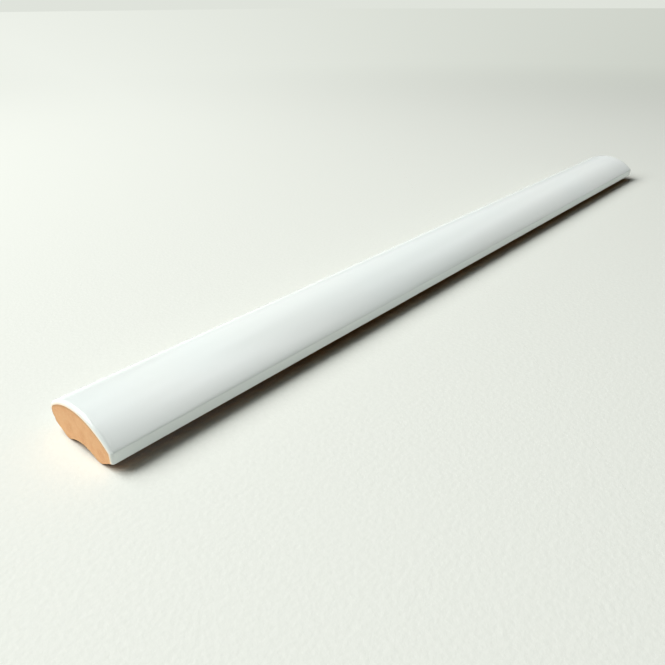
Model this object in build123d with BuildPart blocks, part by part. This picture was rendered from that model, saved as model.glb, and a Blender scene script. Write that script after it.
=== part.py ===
# A glazed ceramic border tile: one long narrow trim piece that finishes the edge of a tiled wall.
#
# The tile is pressed and fired in one piece, so it is one solid. Its whole character is in its
# cross section, which runs unchanged from one end to the other: a domed crown on top, an upright
# lip along one side, a rounded nose along the other, and a hollowed back that stands on two narrow
# lands. The ends are square, with a softly rounded edge. All sizes are in millimetres.
#
# X runs along the tile, Y across it from the lip (-Y) to the nose (+Y), and Z up from the lands.
# The origin is on the plane of the lands, in the middle of the length and of the width.

from build123d import *
from math import cos, radians, sin, sqrt, tan
import os

# Overall size
length = 250.0
width = 20.0
height = 8.7

# Lip: the upright glazed edge, which stops short of the surface that the tile lies on
lip_foot = 1.9
lip_top = 4.2
glaze = 0.7
arris_radius = 0.5
drip_radius = 0.25

# Crown: one arc from the arris of the lip to the nose, with its top past the middle of the width
crown_offset = 0.6

# Nose: the rounded edge opposite the lip
nose_radius = 2.5

# Back: two lands, the slopes that lead up from them to the nose and the lip, and the cove between
nose_slope = 30.0
lip_slope = 30.0
nose_land = 1.3
lip_land = 1.5
cove_depth = 1.2
cove_blend = 2.5
land_radius = 1.0

# Ends: the rounding of the edge between each bare end and the section's outline
end_radius = 0.7

# The crown's arc is level at its top and passes through the arris
lip_face = -width / 2
nose_tip = width / 2
crown_rise = height - lip_top
crown_reach = crown_offset - lip_face
crown_radius = (crown_reach**2 + crown_rise**2) / (2 * crown_rise)
crown_centre = Vector(crown_offset, height - crown_radius)

# The nose's arc touches the crown's arc from inside and the tip of the nose
nose_across = nose_tip - nose_radius
nose_gap = crown_radius - nose_radius
nose_up = crown_centre.Y + sqrt(nose_gap**2 - (nose_across - crown_offset) ** 2)
nose_centre = Vector(nose_across, nose_up)
outward = (nose_centre - crown_centre).normalized()
crown_end = nose_centre + outward * nose_radius
slope_start = nose_centre + Vector(sin(radians(nose_slope)), -cos(radians(nose_slope))) * nose_radius
between = (outward + (slope_start - nose_centre).normalized()).normalized()
nose_middle = nose_centre + between * nose_radius

# The four edges of the two lands, from the nose to the lip
nose_land_outer = slope_start.X - slope_start.Y / tan(radians(nose_slope))
nose_land_inner = nose_land_outer - nose_land
lip_land_outer = lip_face + glaze + lip_foot / tan(radians(lip_slope))
lip_land_inner = lip_land_outer + lip_land

with BuildPart() as border_tile:
    with BuildSketch(Plane.YZ) as section:
        with BuildLine() as outline:
            # The lip's face, then the crown from the arris over the top, then the nose
            Line((lip_face, lip_foot), (lip_face, lip_top))
            ThreePointArc((lip_face, lip_top), (crown_offset, height), crown_end)
            ThreePointArc(crown_end, nose_middle, slope_start)
            # The back: nose slope, land, cove, land, lip slope, and the glaze's lower edge
            Line(slope_start, (nose_land_outer, 0))
            Line((nose_land_outer, 0), (nose_land_inner, 0))
            cove_middle = (nose_land_inner + lip_land_inner) / 2
            ThreePointArc((nose_land_inner, 0), (cove_middle, cove_depth), (lip_land_inner, 0))
            Line((lip_land_inner, 0), (lip_land_outer, 0))
            Line((lip_land_outer, 0), (lip_face + glaze, lip_foot))
            Line((lip_face + glaze, lip_foot), (lip_face, lip_foot))
        make_face()

        # The lands stand on the section's lowest four corners
        lands = section.vertices().group_by(Axis.Y)[0].sort_by(Axis.X)
        fillet([lands[0], lands[-1]], radius=land_radius)
        lands = section.vertices().group_by(Axis.Y)[0].sort_by(Axis.X)
        fillet(lands[1:-1], radius=cove_blend)

        # Glaze softens the arris and gathers in a small bead along the foot of the lip
        lip = section.vertices().group_by(Axis.X)[0].sort_by(Axis.Y)
        fillet(lip[-1], radius=arris_radius)
        lip = section.vertices().group_by(Axis.X)[0].sort_by(Axis.Y)
        fillet(lip[0], radius=drip_radius)
    # The section runs straight through, and both ends are softened all round their outline
    extrude(amount=length / 2, both=True)
    ends = border_tile.faces().filter_by(Axis.X)
    fillet(ends.edges().group_by(Axis.Z)[-1], radius=end_radius)

border_tile.part.label = "border_tile"

os.makedirs("parts", exist_ok=True)
export_step(border_tile.part, "parts/border_tile.step")
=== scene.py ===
# %% [markdown]
# # A white glazed border tile
#
# This notebook dresses one ceramic border tile: a long narrow strip with a domed crown, an upright
# lip and a rounded nose. The real thing is a pressed bar of terracotta with a glossy white glaze
# melted over its top and sides, so two materials meet on it, and the line where they meet is most
# of what makes it look fired and not painted.
#
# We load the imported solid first. It fixes every size, and nothing below may grow past it.

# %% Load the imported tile
from math import atan2, cos, degrees, radians, sin, sqrt, tan

import bpy
import bmesh
from mathutils import Matrix, Vector, noise


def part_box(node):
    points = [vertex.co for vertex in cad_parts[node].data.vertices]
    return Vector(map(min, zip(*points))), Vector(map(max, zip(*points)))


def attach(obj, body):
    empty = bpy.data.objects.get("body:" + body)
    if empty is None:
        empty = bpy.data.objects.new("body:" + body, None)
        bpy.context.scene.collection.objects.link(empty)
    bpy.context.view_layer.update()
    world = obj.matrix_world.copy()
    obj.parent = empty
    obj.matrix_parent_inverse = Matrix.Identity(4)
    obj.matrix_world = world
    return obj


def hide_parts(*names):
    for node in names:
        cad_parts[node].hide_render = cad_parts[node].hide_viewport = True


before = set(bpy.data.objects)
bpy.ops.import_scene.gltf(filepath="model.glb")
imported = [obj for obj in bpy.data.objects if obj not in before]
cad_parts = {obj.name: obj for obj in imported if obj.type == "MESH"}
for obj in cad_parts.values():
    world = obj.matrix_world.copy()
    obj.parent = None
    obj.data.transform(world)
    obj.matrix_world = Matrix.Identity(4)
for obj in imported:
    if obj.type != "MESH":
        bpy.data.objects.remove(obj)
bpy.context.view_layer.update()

low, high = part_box("border_tile")
print("tile", [round(1000 * side, 2) for side in high - low], "mm")

# %% [markdown]
# ## The sizes of the section
#
# The tile has the same section along its whole length. The solid gives its length, width and
# height. The smaller sizes are written here once, in millimetres times `MM`, because Blender works
# in metres. The glaze is drawn as its own coat, 0.7 mm thick on the crown, so the clay underneath
# is that much smaller. Under the nose the coat stops at `COAT_END`, an angle counted from straight
# up.

# %% Name the sizes of the section
MM = 0.001
LIP_FACE, NOSE_TIP, CREST = low.y, high.y, high.z
LIP_FOOT = 1.9 * MM
LIP_TOP = 4.2 * MM
COAT = 0.7 * MM
COAT_EDGE = 0.12 * MM
ARRIS_RADIUS = 0.5 * MM
DRIP_RADIUS = 0.25 * MM
NOSE_RADIUS = 2.5 * MM
END_RADIUS = 0.7 * MM
CRISP = 0.3
CREST_ACROSS = 0.6 * MM
LEAST_RADIUS = 0.05 * MM
COAT_END = 138.0

crown_rise = CREST - LIP_TOP
crown_reach = CREST_ACROSS - LIP_FACE
CROWN_RADIUS = (crown_reach**2 + crown_rise**2) / (2 * crown_rise)
CROWN_CENTRE = (CREST_ACROSS, CREST - CROWN_RADIUS)
print("crown radius", round(CROWN_RADIUS / MM, 2), "mm")


# %% [markdown]
# ## Drawing a section from arcs
#
# Every curve in the section is an arc, so one helper is enough: it walks round a centre, with the
# angle counted from straight up and growing towards the nose. Where one arc touches another from
# inside, the distance between their centres is the difference of their radii. That places the
# nose, and the small arc that softens the arris above the lip.

# %% Helpers for arcs and straight runs
def arc(centre, radius, start, end, count):
    """Points on an arc, from one angle to another, with 0 degrees straight up."""
    turns = [radians(start + (end - start) * i / (count - 1)) for i in range(count)]
    return [(centre[0] + radius * sin(turn), centre[1] + radius * cos(turn)) for turn in turns]


def run(start, end, count):
    """Points on a straight line, both ends included."""
    steps = [i / (count - 1) for i in range(count)]
    return [(start[0] + (end[0] - start[0]) * s, start[1] + (end[1] - start[1]) * s) for s in steps]


def inside_crown(radius, across, crown):
    """The centre of a small arc that touches the crown from inside, and the angle where it does."""
    offset = across - CROWN_CENTRE[0]
    up = sqrt((crown - radius) ** 2 - offset**2)
    return (across, CROWN_CENTRE[1] + up), degrees(atan2(offset, up))


NOSE_CENTRE, NOSE_START = inside_crown(NOSE_RADIUS, NOSE_TIP - NOSE_RADIUS, CROWN_RADIUS)
print("the nose leaves the crown at", round(NOSE_START, 1), "degrees")

# %% [markdown]
# ## The glazed side in section
#
# One function draws the glazed side of the section at any depth below the gloss: the bead at the
# foot of the lip, the lip, the arris, the crown and the nose. A depth of nothing gives the gloss
# itself. The coat's thickness gives its seat on the clay, and both are drawn in further where the
# tile rounds off towards an end. Sinking a convex outline only makes its radii smaller, which is
# why arcs are such a convenient way to hold it. The underside stays crisper than the glazed side
# at the ends, so it is drawn in by only a share of that inset, `CRISP`.

# %% Draw the glazed side at a depth
POINTS = {"foot": 5, "lip": 8, "arris": 7, "crown": 48, "nose": 22}


def glazed_line(depth, foot, end, nose_depths=None, bead=DRIP_RADIUS):
    """The glazed side, sunk by a depth, from the lip's foot to the angle where the coat ends."""
    bead = max(bead - depth, LEAST_RADIUS)
    arris = max(ARRIS_RADIUS - depth, LEAST_RADIUS)
    face = LIP_FACE + depth
    crown = CROWN_RADIUS - depth
    arris_centre, arris_turn = inside_crown(arris, face + arris, crown)
    line = arc((face + bead, foot + bead), bead, -180, -90, POINTS["foot"])
    line += run(line[-1], (face, arris_centre[1]), POINTS["lip"])
    line += arc(arris_centre, arris, -90, arris_turn, POINTS["arris"])
    line += arc(CROWN_CENTRE, crown, arris_turn, NOSE_START, POINTS["crown"])
    for i in range(POINTS["nose"]):
        turn = radians(NOSE_START + (end - NOSE_START) * i / (POINTS["nose"] - 1))
        radius = NOSE_RADIUS - (nose_depths[i] if nose_depths else depth)
        line.append((NOSE_CENTRE[0] + radius * sin(turn), NOSE_CENTRE[1] + radius * cos(turn)))
    return line


def coat_lines(end, foot, inset):
    """The gloss and the seat of the coat. The coat thins towards its end under the nose."""
    steps = [i / (POINTS["nose"] - 1) for i in range(POINTS["nose"])]
    seat_depth = max(COAT, inset + COAT_EDGE)
    nose_depths = [max(COAT + (COAT_EDGE - COAT) * step**2, inset + COAT_EDGE) for step in steps]
    gloss = glazed_line(inset, foot, end)
    seat = glazed_line(seat_depth, foot, end, nose_depths, bead=0.0)
    return gloss, seat


print("the coat has", len(coat_lines(COAT_END, LIP_FOOT, 0.0)[0]), "points a side")

# %% [markdown]
# ## The clay's back in section
#
# Under the glaze the clay is bare. From the end of the coat it runs down a slope to a narrow land,
# over a shallow cove to the second land, and up a slope to the foot of the lip. The tile stands on
# the two lands, and on a wall the cove holds the adhesive. The small arcs at the lands are the
# rounded corners of the press tool. The cove is hollow, so its radius grows where the rest shrinks.

# %% Draw the back at a depth
SLOPE = radians(30)
SLOPE_END = 180 - degrees(SLOPE)
NOSE_LAND = 1.3 * MM
LIP_LAND = 1.5 * MM
LAND_RADIUS = 1.0 * MM
COVE_DEPTH = 1.2 * MM
COVE_BLEND = 2.5 * MM
BACK_POINTS = {"nose": 6, "slope": 8, "corner": 5, "land": 4, "blend": 7, "cove": 22}

slope_top = arc(NOSE_CENTRE, NOSE_RADIUS, SLOPE_END, 0, 2)[0]
nose_land_edge = slope_top[0] - slope_top[1] / tan(SLOPE)
lip_land_edge = LIP_FACE + COAT + LIP_FOOT / tan(SLOPE)
corner_tangent = LAND_RADIUS * tan(SLOPE / 2)
NOSE_CORNER = (nose_land_edge - corner_tangent, LAND_RADIUS)
LIP_CORNER = (lip_land_edge + corner_tangent, LAND_RADIUS)
cove_middle = (nose_land_edge - NOSE_LAND + lip_land_edge + LIP_LAND) / 2
cove_half = nose_land_edge - NOSE_LAND - cove_middle
COVE_RADIUS = (cove_half**2 + COVE_DEPTH**2) / (2 * COVE_DEPTH)
COVE_CENTRE = (cove_middle, COVE_DEPTH - COVE_RADIUS)
blend_rise = COVE_BLEND - COVE_CENTRE[1]
blend_reach = sqrt((COVE_RADIUS + COVE_BLEND) ** 2 - blend_rise**2)
BLEND_TURN = degrees(atan2(blend_reach, blend_rise))


def back_line(end, foot, inset):
    """The clay's underside, from the end of the coat under the nose to the foot of the lip.

    Along the nose the inset eases into the smaller rise that the rest of the back has.
    """
    count = BACK_POINTS
    rise = inset * CRISP
    land, blend, cove = LAND_RADIUS - rise, COVE_BLEND - rise, COVE_RADIUS + rise
    nose_blend = (cove_middle + blend_reach, COVE_BLEND)
    lip_blend = (cove_middle - blend_reach, COVE_BLEND)
    line = []
    for i in range(count["nose"]):
        step = i / (count["nose"] - 1)
        turn = radians(end + (SLOPE_END - end) * step)
        radius = NOSE_RADIUS - COAT_EDGE * (1 - step) - inset * (1 - step) - rise * step
        line.append((NOSE_CENTRE[0] + radius * sin(turn), NOSE_CENTRE[1] + radius * cos(turn)))
    line += run(line[-1], arc(NOSE_CORNER, land, SLOPE_END, 0, 2)[0], count["slope"])
    line += arc(NOSE_CORNER, land, SLOPE_END, 180, count["corner"])
    line += run(line[-1], (nose_blend[0], rise), count["land"])
    line += arc(nose_blend, blend, 180, 180 + BLEND_TURN, count["blend"])
    line += arc(COVE_CENTRE, cove, BLEND_TURN, -BLEND_TURN, count["cove"])
    line += arc(lip_blend, blend, 180 - BLEND_TURN, 180, count["blend"])
    line += run(line[-1], (LIP_CORNER[0], rise), count["land"])
    line += arc(LIP_CORNER, land, 180, 360 - SLOPE_END, count["corner"])
    line += run(line[-1], (LIP_FACE + max(COAT, inset + COAT_EDGE), foot), count["slope"])
    return line


def even(line, count):
    """The same line with its points spread evenly along it."""
    lengths = [0.0]
    for a, b in zip(line, line[1:]):
        lengths.append(lengths[-1] + sqrt((b[0] - a[0]) ** 2 + (b[1] - a[1]) ** 2))
    spread, j = [], 0
    for i in range(count):
        goal = lengths[-1] * i / (count - 1)
        while j < len(line) - 2 and lengths[j + 1] < goal:
            j += 1
        span = lengths[j + 1] - lengths[j] or 1.0
        share = min(1.0, max(0.0, (goal - lengths[j]) / span))
        spread.append(tuple(line[j][k] + (line[j + 1][k] - line[j][k]) * share for k in (0, 1)))
    return spread


print("cove radius", round(COVE_RADIUS / MM, 2), "mm")

# %% [markdown]
# ## Where the sections stand
#
# The mesh is a row of sections along the tile. Each end is rounded off, so the first sections
# follow a quarter circle: they stand close together and are drawn in by the inset that the circle
# gives. From there they spread out to a millimetre apart, because along the middle nothing changes
# fast.

# %% Place the sections along the length
STATION_STEP = 1.0 * MM
FIRST_STEP = 0.14 * MM
STEP_GROWTH = 1.25
ROUNDING_STEPS = 10


def stations():
    """Pairs of a place along X and the inset there, from one end of the tile to the other."""
    half = (high.x - low.x) / 2
    pairs = []
    for i in range(ROUNDING_STEPS + 1):
        turn = radians(90 * i / ROUNDING_STEPS)
        pairs.append((END_RADIUS * (1 - cos(turn)), END_RADIUS * (1 - sin(turn))))
    depth, step = END_RADIUS + FIRST_STEP, FIRST_STEP
    while depth < half - STATION_STEP / 2:
        pairs.append((depth, 0.0))
        step = min(STATION_STEP, step * STEP_GROWTH)
        depth += step
    left = [(low.x + depth, inset) for depth, inset in pairs]
    right = [(high.x - depth, inset) for depth, inset in reversed(pairs)]
    return left + [((low.x + high.x) / 2, 0.0)] + right


along = stations()
print(len(along), "sections")


# %% [markdown]
# ## A bar with two sides and grained ends
#
# Both pieces have the same build: an upper line and an under line at every section, joined along
# the tile, and closed at its ends. The ends are not one flat face. They are filled with rows of
# points between the upper and the under line, so that the bare clay there can be pitted. Each point
# also carries a number, `thinness`, that a material can read. Points that fall together are merged
# afterwards, and the count of open edges is printed: a sound mesh has none.

# %% A function that lofts a bar
CREASE = radians(38)
MERGE_WITHIN = 0.001 * MM
SLIVER = 0.0005 * MM


def loft_bar(name, upper, under, rows, mark, end_relief, rim=1):
    """A closed mesh between two lines per section, with `rows` strips across each end.

    The mark of the points on an end grows to 1 over the first `rim` rows below the upper line.
    """
    count, across = len(upper), len(upper[0])
    points = [p for line in upper for p in line] + [p for line in under for p in line]
    marks = [m for line in mark for m in line] + [1.0] * (count * across)
    faces = []

    def at(side, i, k):
        return side * count * across + i * across + k

    for i in range(count - 1):
        for k in range(across - 1):
            faces.append((at(0, i, k), at(0, i + 1, k), at(0, i + 1, k + 1), at(0, i, k + 1)))
            faces.append((at(1, i, k), at(1, i, k + 1), at(1, i + 1, k + 1), at(1, i + 1, k)))
        for k in (0, across - 1):
            faces.append((at(0, i, k), at(1, i, k), at(1, i + 1, k), at(0, i + 1, k)))
    for i in (0, count - 1):
        grid = [[at(0, i, k) for k in range(across)]]
        for row in range(1, rows):
            grid.append([])
            for k in range(across):
                place = Vector(upper[i][k]).lerp(Vector(under[i][k]), row / rows)
                place.x += (1 if i == 0 else -1) * end_relief(place, min(row, rows - row))
                grid[-1].append(len(points))
                points.append(tuple(place))
                marks.append(min(1.0, row / rim))
        grid.append([at(1, i, k) for k in range(across)])
        for a, b in zip(grid, grid[1:]):
            for k in range(across - 1):
                faces.append((a[k], a[k + 1], b[k + 1], b[k]))

    mesh = bpy.data.meshes.new(name)
    mesh.from_pydata(points, [], faces)
    layer = mesh.attributes.new("thinness", "FLOAT", "POINT")
    layer.data.foreach_set("value", marks)
    work = bmesh.new()
    work.from_mesh(mesh)
    bmesh.ops.remove_doubles(work, verts=work.verts, dist=MERGE_WITHIN)
    bmesh.ops.dissolve_degenerate(work, edges=work.edges, dist=SLIVER)
    bmesh.ops.recalc_face_normals(work, faces=work.faces)
    open_edges = sum(1 for edge in work.edges if len(edge.link_faces) != 2)
    work.to_mesh(mesh)
    work.free()
    mesh.shade_smooth()
    mesh.set_sharp_from_angle(angle=CREASE)
    piece = bpy.data.objects.new(name, mesh)
    bpy.context.scene.collection.objects.link(piece)
    print(name, len(mesh.vertices), "points,", len(mesh.polygons), "faces,", open_edges, "open edges")
    return piece


# %% [markdown]
# ## Unevenness from the kiln
#
# Nothing fired is perfectly regular. The glaze carries a ripple far too low to see except in what
# it reflects, its edge under the nose wanders, and the bead at the foot of the lip hangs a little
# lower in some places. All of it comes from smooth noise at a named size, and it only ever takes
# material away, so the dressed tile stays inside the solid.

# %% Smooth noise at a named size
RIPPLE = 0.012 * MM
RIPPLE_SIZE = Vector((22.0, 7.0, 7.0)) * MM
EDGE_WANDER = 7.0
EDGE_WANDER_SIZE = 6 * MM
FOOT_WANDER = 0.07 * MM
FOOT_WAVE_SIZE = 9 * MM
FOOT_NICK_SIZE = 2.5 * MM
FOOT_NICK_SHARE = 0.4


def drift(place, size, seed=0.0):
    """Smooth noise between 0 and 1. `size` is a length, or one length for each axis."""
    sizes = size if isinstance(size, Vector) else Vector((size, size, size))
    scaled = [place[k] / sizes[k] + seed for k in range(3)]
    return min(1.0, max(0.0, 0.5 + 0.5 * noise.noise(Vector(scaled))))


def coat_end_at(x):
    """The angle at which the coat ends under the nose, at this place along the tile."""
    return COAT_END + EDGE_WANDER * (2 * drift((x, 0, 0), EDGE_WANDER_SIZE, 3.1) - 1)


def foot_at(x):
    """The height of the lip's foot, at this place along the tile."""
    wave = drift((x, 0, 0), FOOT_WAVE_SIZE, 8.7)
    nick = drift((x, 0, 0), FOOT_NICK_SIZE, 1.3)
    return LIP_FOOT + FOOT_WANDER * (wave + FOOT_NICK_SHARE * nick)


print("coat ends between", COAT_END - EDGE_WANDER, "and", COAT_END + EDGE_WANDER, "degrees")

# %% [markdown]
# ## The glaze coat
#
# The coat is one thin closed shell. Its outside is the gloss line of each section, lowered by the
# ripple. Where the coat is thin, at its end under the nose and where it rolls over the tile's ends,
# the layer below shows through it, so each point keeps how thin the coat is there.

# %% Build the glaze coat
SECTION_CENTRE = Vector((0, CREST_ACROSS, 3.2 * MM))


def rippled(x, across, up):
    """A point of the gloss, sunk a little towards the middle of the section."""
    place = Vector((x, across, up))
    inward = (SECTION_CENTRE - Vector((0, across, up))).normalized()
    return tuple(place + inward * RIPPLE * drift(place, RIPPLE_SIZE))


def thinness_at(outer, inner):
    """1 where the coat has no thickness, 0 where it has all of it."""
    thickness = sqrt((outer[0] - inner[0]) ** 2 + (outer[1] - inner[1]) ** 2)
    return max(0.0, 1 - thickness / COAT)


gloss_lines, seat_lines, thinness = [], [], []
for x, inset in along:
    gloss, seat = coat_lines(coat_end_at(x), foot_at(x), inset)
    gloss_lines.append([rippled(x, *point) for point in gloss])
    seat_lines.append([(x, *point) for point in seat])
    thinness.append([thinness_at(outer, inner) for outer, inner in zip(gloss, seat)])

glaze_coat = loft_bar("glaze_coat", gloss_lines, seat_lines, 2, thinness, lambda place, row: 0.0)

# %% [markdown]
# ## The clay body
#
# The clay fills what the coat leaves. Its upper line is the coat's seat and its under line is the
# back. Both are spread to the same number of points, which makes the bare end a neat grid. The
# press leaves the back slightly uneven, and the bare ends are pitted where grains of grog have
# fallen out. The first rows beside the glaze are marked, and the clay is drawn darker there.

# %% Build the clay body
CLAY_POINTS = 96
CLAY_ROWS = 34
DARK_EDGE_ROWS = 3
BACK_UNEVEN = 0.04 * MM
BACK_UNEVEN_SIZE = 3.5 * MM
LAND_SHARE = 0.15
LAND_HEIGHT = 0.3 * MM
PIT = 0.07 * MM
PIT_SIZE = 0.40 * MM
GROG_SIZE = 1.3 * MM
PIT_RIM = 3


def grog_pits(place, row):
    """How deep the bare end is pitted here. The pits fade out over the last rows at its edge."""
    fine = drift(place, PIT_SIZE, 2.2)
    coarse = drift(place, GROG_SIZE, 7.9)
    hole = max(0.0, coarse * fine - 0.3) / 0.7
    return PIT * min(1.0, row / PIT_RIM) * (0.35 * fine + 0.65 * hole)


def pressed(x, across, up):
    """A point of the back, lifted a little where the press tool was worn, and least on a land."""
    free = min(1.0, up / LAND_HEIGHT + LAND_SHARE)
    lift = BACK_UNEVEN * drift((x, across, up), BACK_UNEVEN_SIZE, 4.4) * free
    return (across, up + lift)


seat_tops, backs = [], []
for x, inset in along:
    end, foot = coat_end_at(x), foot_at(x)
    seat = even(coat_lines(end, foot, inset)[1], CLAY_POINTS)
    back = even(back_line(end, foot, inset)[::-1], CLAY_POINTS)
    back = [back[0]] + [pressed(x, *point) for point in back[1:-1]] + [back[-1]]
    seat_tops.append([(x, *point) for point in seat])
    backs.append([(x, *point) for point in back])

no_marks = [[0.0] * CLAY_POINTS for _ in along]
clay_body = loft_bar(
    "clay_body", seat_tops, backs, CLAY_ROWS, no_marks, grog_pits, rim=DARK_EDGE_ROWS
)

# %% [markdown]
# ## Effects that the materials share
#
# Three surfaces here are grainy: the fired clay, the pale floor and, very faintly, the glaze.
# One node group makes the grain for all of them. It reads the piece's own coordinates in metres,
# so `Size` is the grain's real size, and it puts out a tone between 0 and 1 and a height for bump.
# A second group makes the slow drift of tone that any large surface has.


# %% Node helpers
def put(tree, kind, **values):
    """Add a node, with settings by attribute name and inputs by socket name."""
    node = tree.nodes.new(kind)
    for key, value in values.items():
        if key in node.inputs:
            node.inputs[key].default_value = value
        else:
            setattr(node, key, value)
    return node


def join(tree, source, socket, target, entry):
    """Link an output of one node to an input of another."""
    tree.links.new(source.outputs[socket], target.inputs[entry])


def new_group(name, inputs, outputs):
    """A shader node group with float inputs, given as name and default, and float outputs."""
    group = bpy.data.node_groups.new(name, "ShaderNodeTree")
    for label, default in inputs:
        socket = group.interface.new_socket(label, in_out="INPUT", socket_type="NodeSocketFloat")
        socket.default_value = default
    for label in outputs:
        group.interface.new_socket(label, in_out="OUTPUT", socket_type="NodeSocketFloat")
    return group, group.nodes.new("NodeGroupInput"), group.nodes.new("NodeGroupOutput")


def math_node(tree, operation, first, second):
    """A math node whose two inputs are each a number or a (node, socket) pair."""
    node = put(tree, "ShaderNodeMath", operation=operation)
    for entry, value in enumerate((first, second)):
        if isinstance(value, tuple):
            tree.links.new(value[0].outputs[value[1]], node.inputs[entry])
        else:
            node.inputs[entry].default_value = value
    return node


def map_range(tree, source, socket, low_end, high_end, smooth=True):
    """Stretch a value so that the two ends become 0 and 1."""
    kind = "SMOOTHSTEP" if smooth else "LINEAR"
    node = put(tree, "ShaderNodeMapRange", interpolation_type=kind)
    node.inputs["From Min"].default_value = low_end
    node.inputs["From Max"].default_value = high_end
    tree.links.new(source.outputs[socket], node.inputs["Value"])
    return node


# %% [markdown]
# The two groups are made once and placed in each material with their own sizes. The helpers after
# them place a group, start a material and mix two colours.

# %% The shared groups
CELL_SHARE = 0.35
CLOUD_LOW, CLOUD_HIGH = 0.35, 0.65


def make_grain_group():
    """Fine grain: a tone for colour, and a height with small round cells added for bump."""
    inputs = [("Size", 0.001), ("Roughness", 0.6)]
    group, entry, exit_node = new_group("kiln_grain", inputs, ["Tone", "Height"])
    spot = put(group, "ShaderNodeTexCoord")
    scale = math_node(group, "DIVIDE", 1.0, (entry, "Size"))
    grains = put(group, "ShaderNodeTexNoise", Detail=6.0)
    cells = put(group, "ShaderNodeTexVoronoi", feature="F1")
    for texture in (grains, cells):
        join(group, spot, "Object", texture, "Vector")
        join(group, scale, "Value", texture, "Scale")
    join(group, entry, "Roughness", grains, "Roughness")
    dimples = math_node(group, "MULTIPLY", (cells, "Distance"), CELL_SHARE)
    height = math_node(group, "ADD", (grains, "Fac"), (dimples, "Value"))
    join(group, grains, "Fac", exit_node, "Tone")
    join(group, height, "Value", exit_node, "Height")
    return group


def make_drift_group():
    """Soft clouds, spread between the two values that it is given."""
    inputs = [("Size", 0.05), ("Low", 0.0), ("High", 1.0)]
    group, entry, exit_node = new_group("slow_drift", inputs, ["Value"])
    spot = put(group, "ShaderNodeTexCoord")
    scale = math_node(group, "DIVIDE", 1.0, (entry, "Size"))
    clouds = put(group, "ShaderNodeTexNoise", Detail=2.0, Roughness=0.4)
    join(group, spot, "Object", clouds, "Vector")
    join(group, scale, "Value", clouds, "Scale")
    spread = map_range(group, clouds, "Fac", CLOUD_LOW, CLOUD_HIGH)
    join(group, entry, "Low", spread, "To Min")
    join(group, entry, "High", spread, "To Max")
    join(group, spread, "Result", exit_node, "Value")
    return group


KILN_GRAIN = make_grain_group()
SLOW_DRIFT = make_drift_group()
print("shared groups:", KILN_GRAIN.name, "and", SLOW_DRIFT.name)


def place_group(tree, group, **values):
    """Place a shared group, with its inputs by name."""
    node = tree.nodes.new("ShaderNodeGroup")
    node.node_tree = group
    for key, value in values.items():
        node.inputs[key].default_value = value
    return node


def new_material(name):
    """A material with an empty Principled shader, ready to be wired."""
    material = bpy.data.materials.new(name)
    material.use_nodes = True
    tree = material.node_tree
    return material, tree, tree.nodes["Principled BSDF"]


def mix_colours(tree, first, second, factor):
    """Mix two colours. A colour is a tuple or a (node, socket) pair, the factor such a pair."""
    node = put(tree, "ShaderNodeMix", data_type="RGBA")
    for entry, value in ((6, first), (7, second)):
        if isinstance(value[0], bpy.types.Node):
            tree.links.new(value[0].outputs[value[1]], node.inputs[entry])
        else:
            node.inputs[entry].default_value = (*value, 1.0)
    tree.links.new(factor[0].outputs[factor[1]], node.inputs[0])
    return node


# %% [markdown]
# ## The white glaze
#
# The glaze is glass made white with fine opaque grains, so it is a bright diffuse surface under a
# soft gloss. At the rim of the bare ends the coat shows its inside, where a cream layer of engobe
# ties the glass to the clay. The mesh carries how thin the coat is at each point, and the colour
# follows it. The white itself drifts a little, with the slow clouds.

# %% Mix the glaze
GLAZE_WHITE = (0.785, 0.845, 0.815)
GLAZE_THIN = (0.795, 0.845, 0.810)
ENGOBE_CREAM = (0.93, 0.80, 0.62)
ENGOBE_FROM, ENGOBE_FULL = 0.45, 0.95
GLAZE_ROUGHNESS = 0.22
GLASS_IOR = 1.5
GLAZE_DRIFT_SIZE = 30 * MM
SKIN_SIZE = 4 * MM


def make_glaze():
    """White, and cream where the mesh says that the coat is thin."""
    material, tree, shader = new_material("white_glaze")
    shader.inputs["Roughness"].default_value = GLAZE_ROUGHNESS
    shader.inputs["IOR"].default_value = GLASS_IOR
    clouds = place_group(tree, SLOW_DRIFT, Size=GLAZE_DRIFT_SIZE)
    white = mix_colours(tree, GLAZE_WHITE, GLAZE_THIN, (clouds, "Value"))
    thin = put(tree, "ShaderNodeAttribute", attribute_type="GEOMETRY", attribute_name="thinness")
    inner = map_range(tree, thin, "Fac", ENGOBE_FROM, ENGOBE_FULL)
    colour = mix_colours(tree, (white, 2), ENGOBE_CREAM, (inner, "Result"))
    tree.links.new(colour.outputs[2], shader.inputs["Base Color"])
    skin = place_group(tree, KILN_GRAIN, Size=SKIN_SIZE, Roughness=0.3)
    bump = put(tree, "ShaderNodeBump", Strength=0.02, Distance=0.1 * MM)
    join(tree, skin, "Height", bump, "Height")
    join(tree, bump, "Normal", shader, "Normal")
    return material


# %% [markdown]
# ## The fired clay
#
# The bare clay is a warm ochre with grains of grog in it: some redder, some paler. It is fully
# matte. Colour comes from noise at two sizes, and the finer grain also lifts the surface a few
# hundredths of a millimetre. Where the mesh says that the point lies beside the glaze, the clay is
# a little darker.

# %% Mix the clay
CLAY_OCHRE = (0.770, 0.443, 0.220)
CLAY_RED = (0.700, 0.360, 0.172)
CLAY_PALE = (0.80, 0.51, 0.27)
CLAY_DARK_EDGE = (0.56, 0.30, 0.14)
CLAY_GRAIN_SIZE = 0.5 * MM
CLAY_BLOTCH_SIZE = 2.0 * MM
BLOTCH_MOST = 0.8
PALE_FROM, PALE_FULL = 0.48, 0.68
PALE_MOST = 0.7


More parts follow.
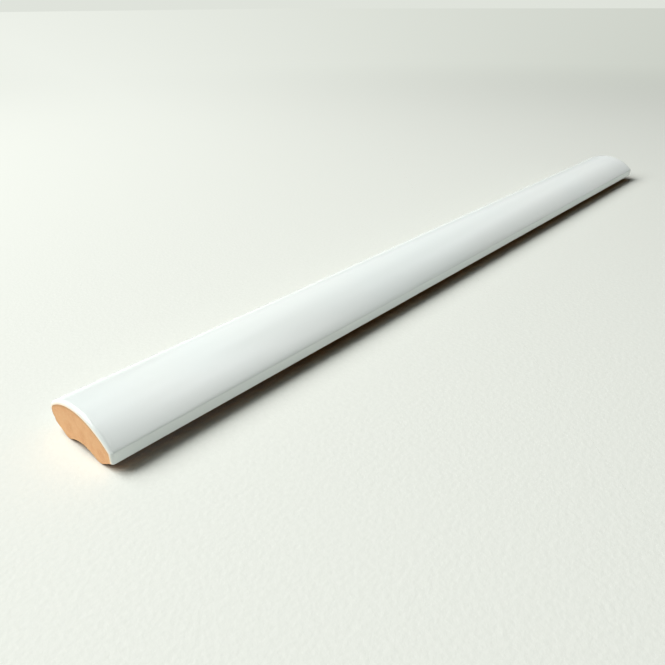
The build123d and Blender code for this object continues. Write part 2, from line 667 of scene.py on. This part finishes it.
def make_clay():
    """Ochre with redder blotches and paler grains, and darker beside the glaze."""
    material, tree, shader = new_material("fired_clay")
    shader.inputs["Roughness"].default_value = 0.9
    shader.inputs["Specular IOR Level"].default_value = 0.25
    fine = place_group(tree, KILN_GRAIN, Size=CLAY_GRAIN_SIZE)
    coarse = place_group(tree, SLOW_DRIFT, Size=CLAY_BLOTCH_SIZE, High=BLOTCH_MOST)
    warm = mix_colours(tree, CLAY_OCHRE, CLAY_RED, (coarse, "Value"))
    pale = map_range(tree, fine, "Tone", PALE_FROM, PALE_FULL)
    pale.inputs["To Max"].default_value = PALE_MOST
    grained = mix_colours(tree, (warm, 2), CLAY_PALE, (pale, "Result"))
    edge = put(tree, "ShaderNodeAttribute", attribute_type="GEOMETRY", attribute_name="thinness")
    # The clay is drawn darker on the first rows beside the glaze.
    colour = mix_colours(tree, CLAY_DARK_EDGE, (grained, 2), (edge, "Fac"))
    tree.links.new(colour.outputs[2], shader.inputs["Base Color"])
    bump = put(tree, "ShaderNodeBump", Strength=0.4, Distance=0.1 * MM)
    join(tree, fine, "Height", bump, "Height")
    join(tree, bump, "Normal", shader, "Normal")
    return material


# %% [markdown]
# ## Dressing the tile
#
# Each piece gets its material. Both ride on the one fixed body, and together they take the place
# of the one solid, because on the real tile glaze and clay are fused.

# %% Dress the two pieces
glaze_coat.data.materials.append(make_glaze())
clay_body.data.materials.append(make_clay())
for piece in (glaze_coat, clay_body):
    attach(piece, "root")
    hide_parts("border_tile")
print("dressed", glaze_coat.name, "and", clay_body.name)

# %% [markdown]
# ## The floor
#
# The tile lies on a plain pale floor with a fine tooth. Near the tile the floor is a real matte
# surface, so it takes the shadow and throws light back under the lip. In the narrow gap under the
# tile its colour is turned to a deep brown, because bounced light alone would leave the gap paler
# than the photograph shows it. An ambient occlusion node finds that gap: it tells how much of a
# small half sphere above the point is free.

# %% Lay the floor
FLOOR_REACH = 9.0
FLOOR_PALE = (0.855, 0.880, 0.815)
FLOOR_TOOTH = (0.780, 0.812, 0.745)
FLOOR_TOOTH_SIZE = 0.9 * MM
# The colour, reach and depth of the floor's painted shade in the gap under the tile.
FLOOR_PAINTED_SHADE = (0.22, 0.16, 0.10)
PAINTED_SHADE_REACH = 5 * MM
PAINTED_SHADE_DARK, PAINTED_SHADE_CLEAR = 0.15, 0.60


def floor_sheet():
    """A square sheet at the height of the tile's lands."""
    mesh = bpy.data.meshes.new("floor")
    reach = FLOOR_REACH
    corners = [(-reach, -reach, 0), (reach, -reach, 0), (reach, reach, 0), (-reach, reach, 0)]
    mesh.from_pydata(corners, [], [(0, 1, 2, 3)])
    sheet = bpy.data.objects.new("floor", mesh)
    bpy.context.scene.collection.objects.link(sheet)
    return sheet


def matte_floor():
    """The floor's material near the tile."""
    material, tree, shader = new_material("pale_floor")
    shader.inputs["Roughness"].default_value = 0.8
    shader.inputs["Specular IOR Level"].default_value = 0.2
    tooth = place_group(tree, KILN_GRAIN, Size=FLOOR_TOOTH_SIZE)
    pale = mix_colours(tree, FLOOR_PALE, FLOOR_TOOTH, (tooth, "Tone"))
    # Painted shade: the floor's colour turns a deep brown in the gap under the tile, where the
    # ambient occlusion node finds little of the half sphere free.
    nook = put(tree, "ShaderNodeAmbientOcclusion", Distance=PAINTED_SHADE_REACH)
    clear = map_range(tree, nook, "AO", PAINTED_SHADE_DARK, PAINTED_SHADE_CLEAR, smooth=False)
    colour = mix_colours(tree, FLOOR_PAINTED_SHADE, (pale, 2), (clear, "Result"))
    tree.links.new(colour.outputs[2], shader.inputs["Base Color"])
    bump = put(tree, "ShaderNodeBump", Strength=0.3, Distance=0.15 * MM)
    join(tree, tooth, "Height", bump, "Height")
    join(tree, bump, "Normal", shader, "Normal")
    return material, tree, shader


floor = floor_sheet()
floor_material, floor_tree, floor_shader = matte_floor()
floor.data.materials.append(floor_material)
print("floor reaches", FLOOR_REACH, "m each way")

# %% [markdown]
# ## The floor far off
#
# A lit floor goes dark far from the lamps. A studio sweep does not, so further out the floor fades
# into a plain glow of its own colour, which keeps the background pale however far the eye goes. The
# glow is a little deeper on the right, where the lamps are further away. It is shown only to the
# eye and to reflections, so it puts no light on the tile. The floor is a stage and not part of the
# object.

# %% Fade the floor into the background
GLOW_LEFT = (0.86, 0.89, 0.825)
GLOW_RIGHT = (0.61, 0.64, 0.58)
GLOW_SIDE = (0.658, -0.753, 0.0)
GLOW_SPREAD = 0.5
GLOW_CENTRE = (0.08, -0.05, 0.0)
GLOW_FROM, GLOW_FULL = 0.15, 0.70


def far_glow(tree, shader):
    """Blend the matte floor into an even glow, by the distance from the middle of the picture."""
    spot = put(tree, "ShaderNodeTexCoord")
    distance = put(tree, "ShaderNodeVectorMath", operation="DISTANCE")
    distance.inputs[1].default_value = GLOW_CENTRE
    join(tree, spot, "Object", distance, 0)
    fade = map_range(tree, distance, "Value", GLOW_FROM, GLOW_FULL)
    heading = put(tree, "ShaderNodeVectorMath", operation="NORMALIZE")
    join(tree, spot, "Object", heading, 0)
    aside = put(tree, "ShaderNodeVectorMath", operation="DOT_PRODUCT")
    aside.inputs[1].default_value = GLOW_SIDE
    join(tree, heading, "Vector", aside, 0)
    lean = map_range(tree, aside, "Value", -GLOW_SPREAD, GLOW_SPREAD, smooth=False)
    tone = mix_colours(tree, GLOW_LEFT, GLOW_RIGHT, (lean, "Result"))
    glow = put(tree, "ShaderNodeEmission", Strength=1.0)
    tree.links.new(tone.outputs[2], glow.inputs["Color"])
    path = put(tree, "ShaderNodeLightPath")
    seen = math_node(tree, "MAXIMUM", (path, "Is Camera Ray"), (path, "Is Glossy Ray"))
    share = math_node(tree, "MULTIPLY", (fade, "Result"), (seen, "Value"))
    blend = put(tree, "ShaderNodeMixShader")
    join(tree, share, "Value", blend, 0)
    join(tree, shader, "BSDF", blend, 1)
    join(tree, glow, "Emission", blend, 2)
    join(tree, blend, "Shader", tree.nodes["Material Output"], "Surface")


far_glow(floor_tree, floor_shader)
print("floor fades between", GLOW_FROM, "and", GLOW_FULL, "m")

# %% [markdown]
# ## Light
#
# Two tall soft boxes stand behind the tile, one nearly straight behind and one further left. They
# whiten the far side of the crown, leave the lip side grey and lay a short shadow before the lip.
# Their height is what makes the edge of that shadow so soft. Every other lamp is linked to the
# glaze alone, as a studio flags its reflectors off the table, so the shadow stays deep. The fills
# lift the lip and the near side of the crown and are hidden from reflections. The shines do the
# reverse: they give no light, and the gloss mirrors them as it would mirror pale walls. The room
# itself is dim.


# %% Helpers for the lamps
def towards(azimuth, elevation):
    """A direction, with the azimuth counted from +X towards +Y, both in degrees."""
    around, up = radians(azimuth), radians(elevation)
    return Vector((cos(up) * cos(around), cos(up) * sin(around), sin(up)))


def soft_box(name, azimuth, elevation, distance, wide, tall, power, only_for=None):
    """A rectangular lamp that faces the tile. It can be linked to a few pieces alone.

    Angles are in degrees, the distance and both sides in metres and the power in watts.
    """
    lamp = bpy.data.lights.new(name, "AREA")
    lamp.shape = "RECTANGLE"
    lamp.size, lamp.size_y = wide, tall
    lamp.energy = power
    box = bpy.data.objects.new(name, lamp)
    direction = towards(azimuth, elevation)
    box.location = direction * distance
    box.rotation_euler = direction.to_track_quat("Z", "Y").to_euler()
    bpy.context.scene.collection.objects.link(box)
    if only_for:
        linked = bpy.data.collections.new(f"{name}_reaches")
        for piece in only_for:
            linked.objects.link(piece)
        box.light_linking.receiver_collection = linked
    return box


# %% Light the tile
soft_box("key_right", 107, 50, 2.4, 1.00, 1.80, 37.5)
soft_box("key_left", 142, 42, 1.3, 0.60, 0.95, 14.3)
fills = [
    soft_box("fill_front", -62, 28, 1.0, 0.8, 0.4, 0.6, [glaze_coat]),
    soft_box("fill_lip", -95, 6, 1.0, 0.8, 0.12, 1.6, [glaze_coat]),
    soft_box("fill_right", -5, 46, 1.0, 0.8, 0.5, 1.6, [glaze_coat]),
]
for fill in fills:
    fill.visible_glossy = False
shines = [
    soft_box("shine_near", -46, 59, 1.0, 0.60, 0.45, 1.9, [glaze_coat]),
    soft_box("shine_middle", -14, 52, 1.0, 0.70, 0.60, 1.4, [glaze_coat]),
    soft_box("shine_far", -3, 25, 1.0, 0.50, 0.45, 0.55, [glaze_coat]),
    soft_box("shine_back", 40, 28, 1.0, 1.05, 0.85, 1.6, [glaze_coat]),
    soft_box("shine_top", 15, 72, 1.0, 0.55, 0.45, 2.0, [glaze_coat]),
    soft_box("shine_end", 60, 57, 1.0, 0.45, 0.45, 0.8, [glaze_coat]),
]
for shine in shines:
    shine.visible_diffuse = False
print("2 key boxes,", len(fills), "fills and", len(shines), "shines")

# %% [markdown]
# ## The room
#
# The world stands for the room. It is nearly dark, and only where the eye looks straight at it,
# past the end of the floor, does it have the pale colour of the background.

# %% Light the room
ROOM_TONE = (0.012, 0.012, 0.012)
ROOM_BACKGROUND = (0.74, 0.77, 0.71)


def light_room():
    """A dim world with a pale face towards the eye."""
    world = bpy.data.worlds.new("room")
    bpy.context.scene.world = world
    world.use_nodes = True
    tree = world.node_tree
    tree.nodes.clear()
    path = put(tree, "ShaderNodeLightPath")
    seen = mix_colours(tree, ROOM_TONE, ROOM_BACKGROUND, (path, "Is Camera Ray"))
    sky = put(tree, "ShaderNodeBackground", Strength=1.0)
    tree.links.new(seen.outputs[2], sky.inputs["Color"])
    out = put(tree, "ShaderNodeOutputWorld")
    join(tree, sky, "Background", out, "Surface")


light_room()
print("room tone", ROOM_TONE, "background", ROOM_BACKGROUND)

# %% [markdown]
# ## Camera
#
# The camera stands low and close to the bare end, a hand's breadth off, and looks along the tile.
# Its place is measured from the near corner of the lip, its heading from the length of the tile.
# The lens is given by its focal length in pixels, and the sensor's width turns that into
# millimetres.

# %% Set the camera
IMAGE_SIDE = 665
FOCAL_PIXELS = 614.8
CAMERA_FROM_LIP_CORNER = Vector((-35.03, -77.99, 67.73)) * MM
HEADING = radians(41.173)
PITCH = radians(28.109)
ROLL = radians(-0.355)
SENSOR_WIDTH = 36.0


def set_camera():
    """Aim the camera by its heading and pitch, and turn it a little about its own axis."""
    view = Vector((cos(PITCH) * cos(HEADING), cos(PITCH) * sin(HEADING), -sin(PITCH)))
    level_right = view.cross(Vector((0, 0, 1))).normalized()
    level_up = level_right.cross(view)
    right = level_right * cos(ROLL) + level_up * sin(ROLL)
    up = level_up * cos(ROLL) - level_right * sin(ROLL)
    data = bpy.data.cameras.new("camera")
    data.sensor_width = SENSOR_WIDTH
    data.lens = FOCAL_PIXELS / IMAGE_SIDE * SENSOR_WIDTH
    data.clip_start = 0.01
    data.clip_end = 50.0
    camera = bpy.data.objects.new("camera", data)
    camera.matrix_world = Matrix((right, up, -view)).transposed().to_4x4()
    camera.location = Vector((low.x, low.y, 0)) + CAMERA_FROM_LIP_CORNER
    bpy.context.scene.collection.objects.link(camera)
    bpy.context.scene.camera = camera
    print("lens", round(data.lens, 2), "mm")


set_camera()
bpy.context.scene.view_settings.view_transform = "Standard"
